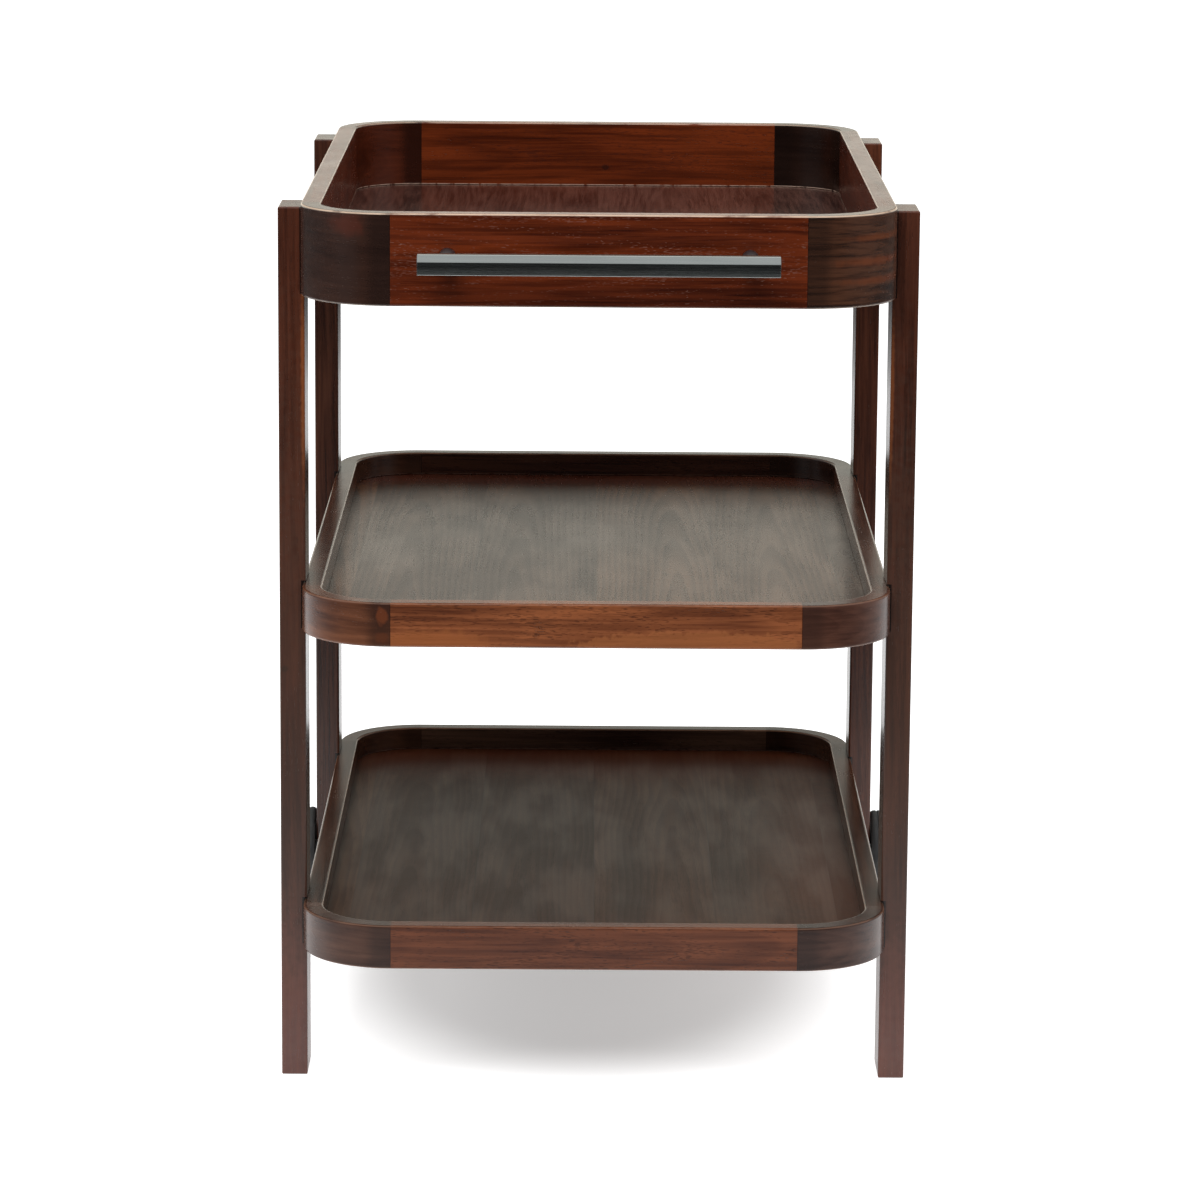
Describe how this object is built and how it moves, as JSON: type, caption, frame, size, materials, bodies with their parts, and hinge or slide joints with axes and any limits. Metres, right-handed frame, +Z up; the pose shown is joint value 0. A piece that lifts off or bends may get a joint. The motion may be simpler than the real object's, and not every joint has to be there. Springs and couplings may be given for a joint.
{
  "type": "serving cart",
  "caption": "Tall wooden serving cart: deep rounded top tray and two shallow trays housed in flat legs, metal pull bar in front, wheels on the rear legs.",
  "frame": {"origin": "on the ground, under the middle of the cart's outline", "axes": "+Z up, +Y from the pull bar towards the wheels, +X to the right as seen from the pull bar"},
  "size_m": [0.6658, 0.946, 0.85],
  "materials": {
    "leg_wood": "dark brown stained hardwood, satin lacquer, grain upright",
    "top_board_wood": "red-brown stained hardwood, satin lacquer, grain along the board",
    "lower_board_wood": "mid brown stained hardwood, satin lacquer, grain along the board",
    "corner_block_wood": "darker brown stained hardwood, satin lacquer",
    "top_floor_wood": "veneered panel, satin lacquer, grain along the cart",
    "lower_floor_wood": "veneered panel, satin lacquer, grain along the cart",
    "dowel_wood": "plain fluted beech",
    "insert_brass": "plain",
    "bolt_steel": "black satin",
    "bar_steel": "blackened, brushed lengthways",
    "plain_steel": "zinc plated",
    "wheel_plastic": "moulded",
    "tyre_rubber": "dull dark grey",
    "bush_nylon": "natural nylon",
    "glide_plastic": "moulded"
  },
  "bodies": {
    "cart": {"front_leg_left": "leg_wood", "front_leg_right": "leg_wood", "rear_leg_left": "leg_wood", "rear_leg_right": "leg_wood", "top_front_rail": "top_board_wood", "top_back_rail": "top_board_wood", "top_left_rail": "top_board_wood", "top_right_rail": "top_board_wood", "top_corner_front_left": "corner_block_wood", "top_corner_front_right": "corner_block_wood", "top_corner_back_left": "corner_block_wood", "top_corner_back_right": "corner_block_wood", "top_floor": "top_floor_wood", "middle_front_rail": "lower_board_wood", "middle_back_rail": "lower_board_wood", "middle_left_rail": "lower_board_wood", "middle_right_rail": "lower_board_wood", "middle_corner_front_left": "corner_block_wood", "middle_corner_front_right": "corner_block_wood", "middle_corner_back_left": "corner_block_wood", "middle_corner_back_right": "corner_block_wood", "middle_floor": "lower_floor_wood", "bottom_front_rail": "lower_board_wood", "bottom_back_rail": "lower_board_wood", "bottom_left_rail": "lower_board_wood", "bottom_right_rail": "lower_board_wood", "bottom_corner_front_left": "corner_block_wood", "bottom_corner_front_right": "corner_block_wood", "bottom_corner_back_left": "corner_block_wood", "bottom_corner_back_right": "corner_block_wood", "bottom_floor": "lower_floor_wood", "rim_dowels": "dowel_wood", "threaded_inserts": "insert_brass", "tray_bolts": "bolt_steel", "pull_bar": "bar_steel", "pull_bar_post_left": "bar_steel", "pull_bar_post_right": "bar_steel", "post_screws": "plain_steel", "left_axle_bolt": "plain_steel", "left_axle_washers": "plain_steel", "left_axle_nut": "plain_steel", "right_axle_bolt": "plain_steel", "right_axle_washers": "plain_steel", "right_axle_nut": "plain_steel", "front_glide_left": "glide_plastic", "front_glide_right": "glide_plastic"},
    "left_wheel": {"left_wheel_disc": "wheel_plastic", "left_tyre": "tyre_rubber", "left_bush": "bush_nylon", "left_hub_cap": "wheel_plastic"},
    "right_wheel": {"right_wheel_disc": "wheel_plastic", "right_tyre": "tyre_rubber", "right_bush": "bush_nylon", "right_hub_cap": "wheel_plastic"}
  },
  "joints": [
    {"name": "left_wheel_spin", "type": "hinge", "parent": "cart", "child": "left_wheel", "pos_m": [-0.3159, 0.3445, 0.055], "axis": [1, 0, 0], "continuous": true},
    {"name": "right_wheel_spin", "type": "hinge", "parent": "cart", "child": "right_wheel", "pos_m": [0.3159, 0.3445, 0.055], "axis": [1, 0, 0], "continuous": true}
  ]
}
